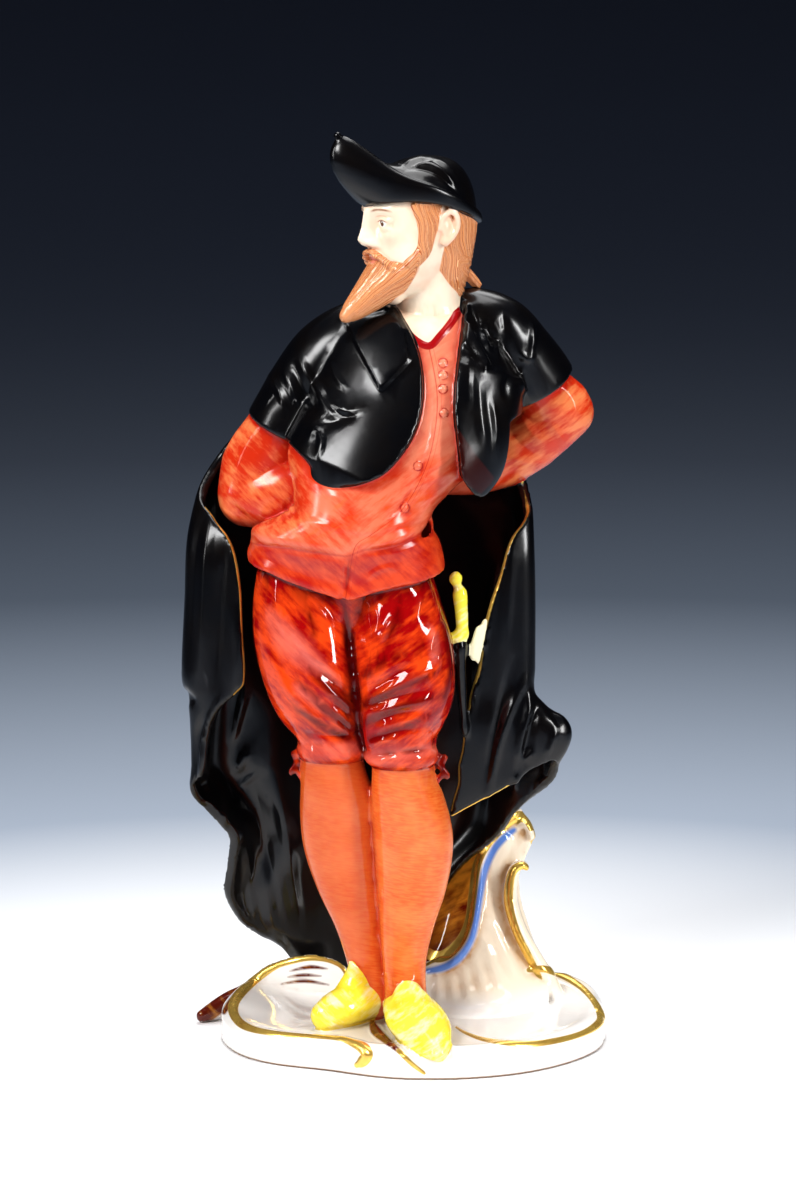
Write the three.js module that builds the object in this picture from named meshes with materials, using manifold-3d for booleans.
// A glazed porcelain figure of a masked-comedy player on a scrolled base, fired as one solid.
// He stands with crossed ankles and his hands behind his back, in a peaked cap, a short open
// jacket, a buttoned doublet, breeches, stockings and slippers, with a long cloak behind him.
// Millimetres, +Z up, he faces -Y, and +X is on the viewer's right.
// The origin is on the underside of the base, below the point midway between his feet.
import * as THREE from "three";
import { mergeVertices } from "three/addons/utils/BufferGeometryUtils.js";
import Module from "manifold-3d";

const wasm = await Module();
wasm.setup();

// Driving dimensions
const FIGURE_HEIGHT = 182; // from the top of the base to the peak of the cap
const BASE_WIDTH = 80; // along X
const BASE_DEPTH = 64; // along Y
const BASE_THICKNESS = 6;
const BASE_EDGE_ROUND = 1.2; // rounding of the base's upper edge
const CLOAK_THICKNESS = 2.4;
const JACKET_THICKNESS = 1.5;
const BRIM_THICKNESS = 1.6;
const CREST_THICKNESS = 2.2; // the gilded rim of the scroll behind the feet
const SHELL_THICKNESS = 2.6; // the fluted leaf that rises to the cloak
const BURIED = 1.2; // how far the feet, the cloak and the scroll run into the base
const FINEST_FACET = 0.05; // facets thinner than this are merged where pieces meet

// The figure's free forms are written in 182nds of its height above the base.
const MODELLED_HEIGHT = 182;
const share = FIGURE_HEIGHT / MODELLED_HEIGHT;
const up = new THREE.Vector3(0, 0, 1);
const right = new THREE.Vector3(1, 0, 0);
const back = new THREE.Vector3(0, 1, 0);

// A smooth row between rows of numbers, at t from 0 to 1.
function between(rows, t) {
  const last = rows.length - 1;
  const place = Math.min(Math.max(t, 0), 1) * last;
  const i = Math.min(Math.floor(place), last - 1);
  const f = place - i;
  const a = rows[Math.max(i - 1, 0)];
  const d = rows[Math.min(i + 2, last)];
  return rows[i].map((b, k) => {
    const c = rows[i + 1][k];
    const m0 = (c - a[k]) / 2;
    const m1 = (d[k] - b) / 2;
    return b + f * (m0 + f * (3 * (c - b) - 2 * m0 - m1 + f * (2 * (b - c) + m0 + m1)));
  });
}

// The value at z of a curve given by its heights and values, heights falling.
function atHeight(curve, z) {
  let i = 0;
  while (i < curve.length - 2 && z < curve[i + 1][0]) {
    i += 1;
  }
  const [z0, v0] = curve[i];
  const [z1, v1] = curve[i + 1];
  const f = THREE.MathUtils.clamp((z0 - z) / (z0 - z1), 0, 1);
  return v0 + (v1 - v0) * f * f * (3 - 2 * f);
}

const bump = (x, centre, width) => Math.exp(-(((x - centre) / width) ** 2));
const smooth = (x, from, to) => THREE.MathUtils.smoothstep(x, from, to);

// A closed solid from a geometry whose vertices have been moved into place.
function solid(geometry) {
  geometry.deleteAttribute("normal");
  geometry.deleteAttribute("uv");
  const merged = mergeVertices(geometry, 1e-4);
  const triVerts = new Uint32Array(merged.index.array);
  const vertProperties = merged.attributes.position.array;
  const make = () =>
    new wasm.Manifold(new wasm.Mesh({ numProp: 3, vertProperties, triVerts, tolerance: FINEST_FACET }));
  const made = make();
  if (made.volume() > 0) {
    return made;
  }
  for (let i = 0; i < triVerts.length; i += 3) {
    [triVerts[i + 1], triVerts[i + 2]] = [triVerts[i + 2], triVerts[i + 1]];
  }
  return make();
}

// Moves every vertex of a geometry by a function of its old place.
function moved(geometry, place) {
  const at = geometry.attributes.position;
  const p = new THREE.Vector3();
  for (let i = 0; i < at.count; i += 1) {
    p.fromBufferAttribute(at, i);
    const q = place(p);
    at.setXYZ(i, q.x, q.y, q.z);
  }
  return geometry;
}

// A point of the figure, and a point of the base, as each was modelled at its first size.
const MODELLED_BASE = { width: 80, depth: 64, thickness: 6 };
const onFigure = (x, y, z) =>
  new THREE.Vector3(x * share, y * share, BASE_THICKNESS + (z - MODELLED_BASE.thickness) * share);
const onBase = (x, y, z) =>
  new THREE.Vector3(
    (x * BASE_WIDTH) / MODELLED_BASE.width,
    (y * BASE_DEPTH) / MODELLED_BASE.depth,
    (z * BASE_THICKNESS) / MODELLED_BASE.thickness,
  );

// A limb through stations [x, y, z, half-width along side, half-width across], with domed ends.
function limb(stations, options = {}) {
  const { sides, rings, side = right, dome = 1, square = 2, fold, place = onFigure } = options;
  const total = rings + 2 * dome;
  const centre = (t) => {
    const row = between(stations, t);
    return new THREE.Vector3(row[0], row[1], row[2]);
  };
  const frames = [];
  for (let k = 0; k <= total; k += 1) {
    const inner = THREE.MathUtils.clamp((k - dome) / rings, 0, 1);
    const before = Math.max(0, dome - k) / Math.max(dome, 1);
    const after = Math.max(0, k - dome - rings) / Math.max(dome, 1);
    const turn = (before + after) * THREE.MathUtils.degToRad(72);
    const along = centre(Math.min(inner + 0.01, 1)).sub(centre(Math.max(inner - 0.01, 0))).normalize();
    const u = side.clone().addScaledVector(along, -side.dot(along)).normalize();
    const v = along.clone().cross(u);
    const [, , , a, b] = between(stations, inner);
    const shift = Math.sin(turn) * Math.min(a, b) * (after - before > 0 ? 1 : -1) * 0.9;
    const at = centre(inner).addScaledVector(along, before + after > 0 ? shift : 0);
    frames.push({ at, u, v, a: a * Math.cos(turn), b: b * Math.cos(turn), inner });
  }
  const shape = new THREE.CylinderGeometry(1, 1, 1, sides, total);
  return solid(
    moved(shape, (p) => {
      const frame = frames[Math.round((0.5 - p.y) * total)];
      const reach = Math.hypot(p.x, p.z);
      const angle = Math.atan2(p.z, p.x);
      const c = Math.cos(angle);
      const s = Math.sin(angle);
      const grow = 1 + (fold ? fold(angle, frame.inner) : 0);
      const across = reach * grow * frame.a * Math.sign(c) * Math.abs(c) ** (2 / square);
      const deep = reach * grow * frame.b * Math.sign(s) * Math.abs(s) ** (2 / square);
      const q = frame.at.clone().addScaledVector(frame.u, across).addScaledVector(frame.v, deep);
      return place(q.x, q.y, q.z);
    }),
  );
}

// A sheet of even thickness over surface(u, v), with u and v from 0 to 1.
function sheet(surface, thickness, columns, rows) {
  const shape = new THREE.BoxGeometry(1, 1, 1, columns, rows, 1);
  const step = 1e-3;
  return solid(
    moved(shape, (p) => {
      const u = p.x + 0.5;
      const v = p.y + 0.5;
      const here = surface(u, v);
      const du = surface(Math.min(u + step, 1), v).sub(surface(Math.max(u - step, 0), v));
      const dv = surface(u, Math.min(v + step, 1)).sub(surface(u, Math.max(v - step, 0)));
      const normal = du.cross(dv).normalize();
      return here.addScaledVector(normal, p.z * thickness);
    }),
  );
}

function joined(solids) {
  return solids.reduce((all, next) => all.add(next));
}

// The base: a scrolled outline, extruded, with its upper edge rounded over.
function base() {
  const w = BASE_WIDTH / 2;
  const d = BASE_DEPTH / 2;
  const centre = new THREE.Vector2(BASE_WIDTH * 0.034, BASE_DEPTH * -0.035);
  // The reach of the outline round its centre, as a share of the ellipse, by angle in degrees.
  const reach = (angle) => {
    const a = THREE.MathUtils.radToDeg(angle);
    const lobes = 0.06 * bump(a, 160, 26) + 0.1 * bump(a, 128, 22) + 0.13 * bump(a, 33, 20);
    const waists = -0.06 * bump(a, 82, 20) + 0.02 * bump(a, 318, 30) - 0.02 * bump(a, 225, 26);
    return 1 + lobes + waists + 0.05 * bump(a, 0, 25) + 0.05 * bump(a, 360, 25);
  };
  const outline = new THREE.Shape();
  const points = 36;
  for (let i = 0; i < points; i += 1) {
    const angle = (i / points) * 2 * Math.PI;
    const x = centre.x + w * 0.96 * reach(angle) * Math.cos(angle);
    const y = centre.y + d * 0.97 * reach(angle) * Math.sin(angle);
    if (i === 0) {
      outline.moveTo(x, y);
    } else {
      outline.lineTo(x, y);
    }
  }
  const plate = new THREE.ExtrudeGeometry(outline, {
    depth: BASE_THICKNESS - BASE_EDGE_ROUND,
    bevelEnabled: true,
    bevelThickness: BASE_EDGE_ROUND,
    bevelSize: BASE_EDGE_ROUND,
    bevelOffset: -BASE_EDGE_ROUND,
    bevelSegments: 1,
  });
  const cutBelow = new THREE.BoxGeometry(4 * BASE_WIDTH, 4 * BASE_DEPTH, BASE_THICKNESS).translate(
    0,
    0,
    -BASE_THICKNESS / 2,
  );
  return solid(plate).subtract(solid(cutBelow));
}

// The raised lips of the base at the back, left and right, and the small scrolled foot.
function baseLips() {
  const lip = (stations) => limb(stations, { sides: 6, rings: 5, place: onBase });
  return joined([
    lip([
      [-34, 4, 4, 2.2, 2.6], [-35, 12, 5, 2.4, 3], [-31.5, 20.5, 6, 2.4, 3.2],
      [-25, 25.5, 7, 2.6, 3.2], [-18, 26.5, 7.4, 2.8, 3.2], [-11, 24.5, 6, 2.6, 3],
    ]),
    lip([[27, 17, 6.4, 2.2, 2.6], [32, 18, 6.2, 2.2, 2.8], [37, 13, 5, 2.2, 2.8], [40, 5, 4, 1.8, 2.4]]),
    lip([[-34, 17, 4, 2.4, 3], [-38, 15.5, 3, 2, 2.6], [-40.5, 13.5, 2.2, 1.8, 2.2]]),
  ]);
}

// The wave-like scroll on the right: a fluted leaf, its gilded crest and a small C scroll.
const crestLine = [
  [4, 9, 11.5], [7.5, 8, 13.6], [11.5, 7.6, 15], [14.6, 9, 19], [16.2, 11.5, 26],
  [17.6, 14.5, 34], [20.4, 16.5, 39.4], [24.4, 17.5, 42.4], [27.8, 18, 40.8],
];
const leafFoot = [
  [2, -1, 5], [8, -4, 5], [15, -6, 5], [23, -4, 5], [30, 2, 5], [30.5, 8, 10.5], [25.6, 11.5, 18],
  [23, 14, 27], [26.2, 16.8, 38.4],
];
function scroll() {
  const leaf = sheet(
    (u, v) => {
      const a = between(crestLine, u);
      const b = between(leafFoot, u);
      const sag = 3.2 * Math.sin(Math.PI * v) * (1 - 0.75 * smooth(u, 0.45, 0.8));
      const flute = 0.4 * Math.cos(u * 36) * Math.sin(Math.PI * v);
      const [x, y, z] = a.map((c, k) => c + (b[k] - c) * v);
      return onFigure(x, y + sag * 0.55 + flute, z - sag * 0.7);
    },
    SHELL_THICKNESS,
    14,
    2,
  );
  const crest = limb(
    crestLine.map(([x, y, z]) => [x, y, z, CREST_THICKNESS / 2 / share, 2.6]),
    { sides: 6, rings: 11, side: new THREE.Vector3(1, 0, -0.25).normalize() },
  );
  const smallScroll = limb(
    [[28.4, 12, 34.4, 0.9, 1.4], [26.2, 12, 35, 1.2, 1.8], [24.6, 12, 31.5, 1.5, 2.4], [24.8, 11.5, 25.5, 1.6, 2.8],
      [26.8, 10.5, 19.5, 1.7, 3], [29.6, 9.5, 14, 1.8, 3], [32.4, 9, 8.5, 2, 3], [34, 9, 5, 2, 3]],
    { sides: 6, rings: 7 },
  );
  const root = limb(
    [[15, 12, 4, 9, 6], [17, 13, 12, 5.5, 4.6], [19, 14, 20, 3.4, 3.4], [20, 15.5, 30, 2.4, 2.6], [22, 17, 38, 2.4, 2.2]],
    { sides: 7, rings: 3 },
  );
  return joined([leaf, crest, smallScroll, root]);
}

// Stockings and slippers
const shin = {
  front: [
    [0.3, -12.5, 62, 6, 6.4], [0.8, -12, 56, 6.7, 6.8], [1.7, -10.8, 51.5, 7.6, 7.4], [2.8, -9.5, 43.9, 8.1, 7.8],
    [2.5, -9.3, 35.6, 7.3, 7.2], [1.5, -10.5, 27.7, 5.8, 6], [0.9, -12, 21, 4.7, 5], [1, -13.2, 15.5, 4.3, 4.8],
    [1.4, -14, 10, 4.4, 5.4],
  ],
  behind: [
    [-14.4, -8.6, 62, 5.6, 6], [-14.1, -8, 56, 6.3, 6.6], [-13.5, -6.8, 51.5, 7.1, 7.2], [-12.7, -5.2, 43.1, 7.3, 7.2],
    [-10.9, -4.4, 34.5, 6.4, 6.5], [-8.6, -4.8, 26.3, 5, 5.4], [-6.9, -5.8, 19.1, 4.3, 4.8], [-6, -6.5, 14, 4.2, 4.8],
    [-5.6, -6.8, 10, 4.2, 5],
  ],
};
const slipper = {
  front: [
    [0.6, -9, 9.2, 3.2, 3.2], [1.2, -12.5, 9.8, 4.8, 4.2], [2.1, -17, 10.2, 5.6, 4.6], [3.3, -22, 9.6, 6.3, 4.4],
    [4.7, -27, 8.4, 6.2, 3.6], [6, -31.5, 7, 4.6, 2.6], [7.2, -35.4, 5.8, 2.4, 1.6],
  ],
  behind: [
    [-3.6, -4.6, 9.2, 2.8, 3.1], [-5.4, -6, 10, 4.2, 4.1], [-8, -8.6, 10.4, 4.9, 4.6], [-10.8, -11.4, 9.7, 4.9, 4],
    [-13.3, -14, 8.8, 4.2, 3.2], [-15.4, -16.3, 7.9, 2.8, 2.3],
  ],
};
function legs() {
  const slipperSide = new THREE.Vector3(0.72, -0.69, 0);
  return joined([
    limb(shin.front, { sides: 12, rings: 8, dome: 0 }),
    limb(shin.behind, { sides: 12, rings: 8, dome: 0 }),
    limb(slipper.front, { sides: 10, rings: 7 }),
    limb(slipper.behind, { sides: 8, rings: 6, side: slipperSide }),
  ]);
}

// Breeches gathered into a band under each knee, with a bow at the outer side.
const breeches = {
  front: [
    [0.2, -6, 99, 10, 10.5], [0.2, -7, 92, 10.3, 11], [0.9, -8.5, 84.5, 10.9, 11.2], [1.2, -10, 76, 10.8, 10.8],
    [0.3, -11.3, 68.5, 9, 9.4], [-0.2, -12.3, 63.5, 7.6, 8], [0, -12.6, 60.6, 6.9, 7.2], [0.2, -12.6, 58.4, 7.3, 7.5],
  ],
  behind: [
    [-20, -5, 99, 10.3, 10.5], [-20, -5.5, 92, 10.5, 10.8], [-19.2, -6.5, 84.5, 10.4, 10.6], [-17.6, -7.6, 76, 9.8, 10],
    [-15.6, -8.2, 68.5, 8.2, 8.6], [-14.3, -8.6, 63.5, 6.3, 6.9], [-14.1, -8.8, 60.6, 6, 6.5], [-14.2, -8.8, 58.2, 6.3, 6.6],
  ],
};
function gathers(angle, t) {
  const low = smooth(t, 0.2, 0.75) * (1 - smooth(t, 0.85, 0.95));
  return 0.035 * low * Math.cos(5 * angle + 7 * t) + 0.02 * Math.cos(3 * angle - 5 * t) * (1 - low);
}
function bow(x, y, z) {
  const knot = new THREE.SphereGeometry(1.5 * share, 6, 3);
  const tail = new THREE.SphereGeometry(1.3 * share, 6, 3).scale(0.8, 0.8, 1.3);
  const place = onFigure(x, y, z);
  const below = onFigure(x + Math.sign(x + 5) * 0.8, y - 0.4, z - 2);
  return solid(knot.translate(place.x, place.y, place.z)).add(
    solid(tail.translate(below.x, below.y, below.z)),
  );
}
function trunkHose() {
  return joined([
    limb(breeches.front, { sides: 14, rings: 8, dome: 0, fold: gathers }),
    limb(breeches.behind, { sides: 14, rings: 8, dome: 0, fold: gathers }),
    bow(8, -11.6, 57.6),
    bow(-20.8, -8, 57.4),
  ]);
}

// The buttoned doublet: hips thrust to the viewer's left, chest leaning back over them.
const doublet = [
  [-10.5, -6.2, 96.6, 20.1, 12.4], [-10.6, -7, 99.5, 19.6, 12.3], [-10.3, -8, 103, 18.9, 12.4],
  [-9.5, -9, 107.8, 18.2, 12.8], [-6.9, -8, 113.7, 17.4, 12.7], [-3.3, -6, 120.6, 17.8, 12.6],
  [0.4, -4, 127.5, 18.8, 12], [2.8, -2, 134.4, 19.4, 11.4], [4.4, 0, 140.4, 19, 10.4], [5.4, 1, 145.4, 15, 9],
  [6, 1.6, 149, 9.5, 7.6], [6.2, 1.8, 152, 7.4, 6.8],
];
const throat = [
  [6.2, 1.8, 145, 7.6, 6.8], [6, 1.4, 150, 7, 6.7], [5.6, 1, 155, 6.6, 6.6], [5, 0.4, 160, 6.8, 6.8],
  [4.6, 0, 166, 7, 7],
];
function torso() {
  return joined([
    limb(doublet, { sides: 17, rings: 10, dome: 0, square: 2.2 }),
    limb(throat, { sides: 10, rings: 3, dome: 0 }),
    limb([[-9.8, -6, 78, 2.6, 4.4], [-10, -6.2, 84, 9, 7.6], [-10.3, -6.4, 92, 18, 10.6], [-10.4, -6.4, 99, 19, 11.2]], { sides: 14, rings: 3, dome: 0 }),
  ]);
}

// Arms bent at the elbow, with the hands out of sight behind the back.
const arm = {
  nearUpper: [[-19, 3, 141, 5.5, 6], [-22.5, 5, 133, 6.8, 7], [-26.4, 7, 125.4, 7, 7.4], [-29.4, 8.4, 118.4, 6.9, 7.2], [-30.8, 8.6, 112.6, 6.4, 6.8]],
  nearFore: [[-31.6, 8.6, 112.2, 6.2, 6.8], [-27.4, 7.6, 110.4, 6.4, 6.8], [-22.8, 7.4, 110.4, 6.2, 6.4], [-18, 9.5, 111.4, 5.6, 5.8], [-12, 13, 113, 4.4, 4.4]],
  farUpper: [[24, 4, 145.6, 5.5, 6], [27.4, 6.5, 139.6, 6.5, 6.8], [30.6, 9, 134.6, 6.7, 7], [33, 10.6, 130.8, 6.3, 6.6]],
  farFore: [[34, 10.8, 130.5, 6.2, 6.4], [30.7, 11.6, 127.4, 6.4, 6.5], [27, 12.2, 124, 6.4, 6.4], [23, 12.4, 120.9, 6, 6], [19, 12.2, 118.6, 5.4, 5.4], [15, 12, 117.2, 4.8, 4.8], [10, 12, 116.5, 4.2, 4.2]],
};
function arms() {
  const part = (stations) => limb(stations, { sides: 9, rings: 4, side: back });
  return joined(Object.values(arm).map(part));
}

// The short jacket: wide sleeves, and two fronts cut from a shell that lies over the doublet.
const sleeve = {
  near: [[-3, 2, 148.6, 5.2, 5.6], [-9.4, 2.4, 146.4, 7.4, 6.4], [-15.2, 3.4, 142, 8.2, 7.4], [-19.8, 5, 135.6, 8.6, 8.4], [-23.4, 6.4, 129.8, 8.8, 9], [-25.6, 7.2, 126.2, 8.9, 9.3]],
  far: [[10, 3.6, 150.6, 5.2, 5.2], [15.4, 4.2, 150.4, 7.4, 6.2], [20, 5, 147.4, 8.2, 7.4], [23.6, 6.4, 142.4, 8.5, 8], [26.2, 8, 137.4, 8.6, 8.4], [27.4, 8.8, 134.6, 8.6, 8.6]],
};
const frontEdge = {
  near: [[-1, 152.5], [2.4, 147], [4.2, 141.2], [4.4, 134.5], [3, 128.7], [0, 123.8], [-4, 120.1], [-10, 118.2], [-15.7, 118.4], [-23, 121]],
  far: [[13.3, 153], [11.9, 145.9], [11.2, 138.1], [11.4, 132.2], [12.6, 126.1], [16.1, 120.4], [19.4, 115.3], [21.5, 120.4], [23, 127]],
};
function jacketFront(edge, outside) {
  const outline = new THREE.Shape();
  const place = ([x, z]) => [x * share, BASE_THICKNESS + (z - MODELLED_BASE.thickness) * share];
  outline.moveTo(...place(edge[0]));
  outline.splineThru(edge.slice(1).map((p) => new THREE.Vector2(...place(p))));
  outline.lineTo(...place([outside, edge[edge.length - 1][1]]));
  outline.lineTo(...place([outside, 154]));
  const reach = 30 * share;
  const prism = new THREE.ExtrudeGeometry(outline, { depth: reach, bevelEnabled: false, curveSegments: 2 });
  return solid(prism.rotateX(Math.PI / 2).translate(0, 4 * share, 0));
}
function jacket() {
  const loose = doublet.slice(4).map(([x, y, z, a, b], i) => {
    const flare = JACKET_THICKNESS / share + 1.6 * Math.max(0, 1 - i / 3);
    return [x, y, i === 0 ? 113.9 : z, a + flare * 0.6, b + flare];
  });
  const shell = limb(loose, { sides: 16, rings: 5, dome: 0, square: 2.2 });
  const fronts = jacketFront(frontEdge.near, -26).add(jacketFront(frontEdge.far, 27));
  const part = (stations) => limb(stations, { sides: 12, rings: 5, side: back });
  return joined([shell.intersect(fronts), part(sleeve.near), part(sleeve.far)]);
}

// The head is turned well to the viewer's left. Its slices are [z, forward, half-length, half-width].
const headTurn = THREE.MathUtils.degToRad(60);
const headAxis = { x: 3.6, y: -1.5 };
const faceward = new THREE.Vector3(-Math.sin(headTurn), -Math.cos(headTurn), 0);
const earward = up.clone().cross(faceward);
const headSlices = [
  [155.6, 6.2, 3.4, 3.6], [157.4, 5.2, 5.6, 5.2], [160, 3.6, 8, 6.8], [163.2, 2, 10, 7.8], [166.6, 0.9, 11.2, 8.6],
  [170, 0.4, 11.8, 9.1], [173.4, -0.1, 12, 9.4], [175.6, -0.8, 11, 8.8], [177, -1.4, 8.6, 7], [178, -1.8, 5, 4.4],
];
const onHead = (forward, aside, z) =>
  new THREE.Vector3(headAxis.x, headAxis.y, z).addScaledVector(faceward, forward).addScaledVector(earward, aside);
const headStation = (forward, aside, z, a, b) => [...onHead(forward, aside, z).toArray(), a, b];
function head() {
  const skull = headSlices.map(([z, forward, long, wide]) => headStation(forward, 0, z, long, wide));
  const nose = [[11, 172, 0.8, 0.9], [12.2, 169.6, 1.2, 1.3], [13.4, 167.2, 1.7, 1.7], [12.2, 165.8, 1.6, 1.6]].map(
    ([forward, z, a, b]) => headStation(forward, 0, z, a, b),
  );
  const beard = [[4, 161, 5, 6.6], [7, 158.4, 5, 5.4], [10, 155.8, 4.2, 4.2], [13, 153.4, 3.4, 3.2], [15.6, 151.4, 2.2, 2.1]].map(
    ([forward, z, a, b]) => headStation(forward, 0, z, a, b),
  );
  const hair = [[-3, 173.4, 9, 9.2], [-4, 170, 9, 9], [-4.8, 164, 7.4, 8], [-6, 158.6, 5, 6.4], [-7, 155, 3, 4]].map(
    ([forward, z, a, b]) => headStation(forward, 0, z, a, b),
  );
  const ear = [[-2.2, 9, 172.4], [-2.8, 9.6, 169.4], [-2, 9, 166.2]].map(([forward, aside, z]) =>
    headStation(forward, aside, z, 1.9, 1.1),
  );
  const queue = [[13.4, 4, 160, 1.4, 1.4], [15.4, 4.4, 157.4, 1.6, 1.6], [17.4, 4.6, 154.8, 1.2, 1.2]];
  return joined([
    limb(skull, { sides: 14, rings: 8, side: faceward, dome: 0 }),
    limb(nose, { sides: 6, rings: 4, side: faceward }),
    limb(beard, { sides: 8, rings: 5, side: up }),
    limb(hair, { sides: 10, rings: 5, side: faceward }),
    limb(ear, { sides: 6, rings: 3, side: faceward }),
    limb(queue, { sides: 6, rings: 2 }),
  ]);
}

// The cap: a soft crown, and a brim turned up all round that runs out into a long peak in front.
const rimHeight = (turn) => 171.4 + 2.4 * Math.cos(turn) + 0.8 * Math.cos(2 * turn);
function brimPlace(turn, rise, outward) {
  const front = bump(turn, 0, THREE.MathUtils.degToRad(30)) + bump(turn, 2 * Math.PI, THREE.MathUtils.degToRad(30));
  const tall = 3 + 2.6 * (0.5 + 0.5 * Math.cos(turn)) + 8 * front ** 2;
  const lean = 0.9 * rise + 6.2 * front * Math.sin(1.9 * rise);
  const forward = (12.7 + lean + outward) * Math.cos(turn) - 0.4;
  const aside = (10.1 + 1.2 * rise * (1 - front) - 1.6 * front * rise + outward) * Math.sin(turn);
  const q = onHead(forward, aside, rimHeight(turn) + tall * rise);
  return onFigure(q.x, q.y, q.z);
}
function cap() {
  const crown = [[169.6, -0.6, 12.6, 9.8], [172.4, -0.9, 12.6, 10], [174.8, -1.6, 12, 9.6], [176.6, -2.4, 10.4, 8.4], [177.6, -3, 7.6, 6.4]].map(
    ([z, forward, a, b]) => headStation(forward, 0, z, a, b),
  );
  const profile = [[1, 0], [2, 0], [2, 0.5], [2, 1], [1, 1], [1, 0.5], [1, 0]];
  const ring = new THREE.LatheGeometry(profile.map(([r, h]) => new THREE.Vector2(r, h)), 26);
  const brim = moved(ring, (p) => {
    const turn = (Math.atan2(p.x, p.z) + 2 * Math.PI) % (2 * Math.PI);
    const outer = Math.hypot(p.x, p.z) - 1;
    const thin = 1 - 0.35 * p.y;
    return brimPlace(turn, p.y, (outer - 1) * (BRIM_THICKNESS / share) * thin);
  });
  return limb(crown, { sides: 13, rings: 4, side: faceward, dome: 2 }).add(solid(brim));
}

// The cloak hangs from the shoulders behind him, wraps forward at both sides and trails on the base.
const cloakLeft = [[150, -2], [142, -11], [132, -21], [122, -30.5], [113, -37.5], [104, -42], [92, -44.6], [74, -45], [60, -43.4], [50, -44.4], [42, -38.6], [37, -37.4], [26, -39.4], [18, -38], [5, -29]];
const cloakRight = [[150, 14], [142, 20], [128, 25], [112, 26.2], [72, 26.2], [66, 31], [58, 33.4], [48, 30.4], [40, 25], [26, 20], [5, 17]];
const cloakBack = [[150, 9], [142, 13], [130, 17], [112, 18.4], [80, 15.6], [50, 13.8], [20, 14.4], [5, 17]];
const cloakMiddle = [[150, 3], [130, 6], [100, 4.5], [60, 2.5], [5, 6]];
const wrapLeft = [[150, 92], [128, 100], [112, 122], [92, 138], [72, 140], [58, 128], [50, 126], [5, 122]];
const wrapRight = [[150, 92], [122, 92], [112, 100], [96, 118], [80, 130], [60, 142], [44, 146], [5, 100]];
function cloakHem(u) {
  const nearLift = 46 * (1 - smooth(u, 0.02, 0.17));
  const farLift = 34 * smooth(u, 0.7, 0.8) + 14 * bump(u, 0.88, 0.06);
  return MODELLED_BASE.thickness - BURIED + nearLift + farLift;
}
function cloakPlace(u, v) {
  const top = 149 - 10 * Math.abs(2 * u - 1) ** 2.4;
  const z = THREE.MathUtils.lerp(top, cloakHem(u), v);
  const sideways = 2 * u - 1;
  const wrap = THREE.MathUtils.degToRad(atHeight(sideways < 0 ? wrapLeft : wrapRight, z));
  const angle = sideways * wrap;
  const left = atHeight(cloakLeft, z);
  const far = atHeight(cloakRight, z);
  const middle = (left + far) / 2;
  const half = (far - left) / 2;
  const deep = atHeight(cloakBack, z) - atHeight(cloakMiddle, z);
  const fall = smooth(v, 0.15, 0.9);
  const folds = (0.5 + 1.5 * fall) * Math.cos(17 * u + 2.2 * v) + 0.8 * fall * Math.cos(31 * u - 3 * v);
  const x = middle + (half - 0.4 * CLOAK_THICKNESS + 0.25 * folds) * Math.sin(angle);
  const y = atHeight(cloakMiddle, z) + (deep + folds) * Math.cos(angle);
  return onFigure(x, y, z);
}
function cloak() {
  return sheet(cloakPlace, CLOAK_THICKNESS, 28, 10);
}

// The gilt dagger at the waist, in a black sheath.
function dagger() {
  const part = (stations) => limb(stations, { sides: 6, rings: 4, dome: 0 });
  return joined([
    part([[11.2, -4, 98.6, 1.2, 1.3], [11.6, -4.4, 97, 1.5, 1.6], [12, -4.8, 93.5, 1.8, 1.9], [12.4, -5, 89, 1.6, 1.7], [12.4, -5, 86, 1.2, 1.3], [12.2, -4.8, 84, 2, 2]]),
    part([[11.6, -4.6, 85, 1.7, 3], [11.6, -4, 78, 1.6, 3], [12, -3, 70, 1.2, 2.4], [12.4, -2.4, 66.6, 1, 1.4]]),
  ]);
}

// The faces of a solid's outside. Limbs that cross in the clay leave closed pockets, which are filled.
function outerFaces({ vertProperties, triVerts }) {
  const first = Array.from({ length: vertProperties.length / 3 }, (_, i) => i);
  const find = (i) => {
    while (first[i] !== i) {
      first[i] = first[first[i]];
      i = first[i];
    }
    return i;
  };
  for (let i = 0; i < triVerts.length; i += 3) {
    first[find(triVerts[i + 1])] = find(triVerts[i]);
    first[find(triVerts[i + 2])] = find(triVerts[i]);
  }
  const corner = (i) => new THREE.Vector3().fromArray(vertProperties, 3 * triVerts[i]);
  const volumes = new Map();
  for (let i = 0; i < triVerts.length; i += 3) {
    const shell = find(triVerts[i]);
    const wedge = corner(i).dot(corner(i + 1).cross(corner(i + 2))) / 6;
    volumes.set(shell, (volumes.get(shell) ?? 0) + wedge);
  }
  return Array.from(triVerts).filter((v) => volumes.get(find(v)) > 0);
}

// All of it is pressed together in the clay and fired as one piece.
function porcelainFigure() {
  const all = joined([
    base(), baseLips(), scroll(), legs(), trunkHose(), torso(), arms(), jacket(), head(), cap(), cloak(), dagger(),
  ]);
  const mesh = all.trimByPlane([0, 0, 1], 0).getMesh();
  const outside = outerFaces(mesh);
  const geometry = new THREE.BufferGeometry();
  geometry.setAttribute("position", new THREE.BufferAttribute(mesh.vertProperties, 3));
  geometry.setIndex(outside);
  return geometry;
}

const glazedPorcelain = new THREE.MeshStandardMaterial({ color: 0xf4efe6, roughness: 0.12, metalness: 0 });
const figure = new THREE.Group();
const piece = new THREE.Mesh(porcelainFigure(), glazedPorcelain);
piece.name = "porcelain_figure";
figure.add(piece);
export default figure;
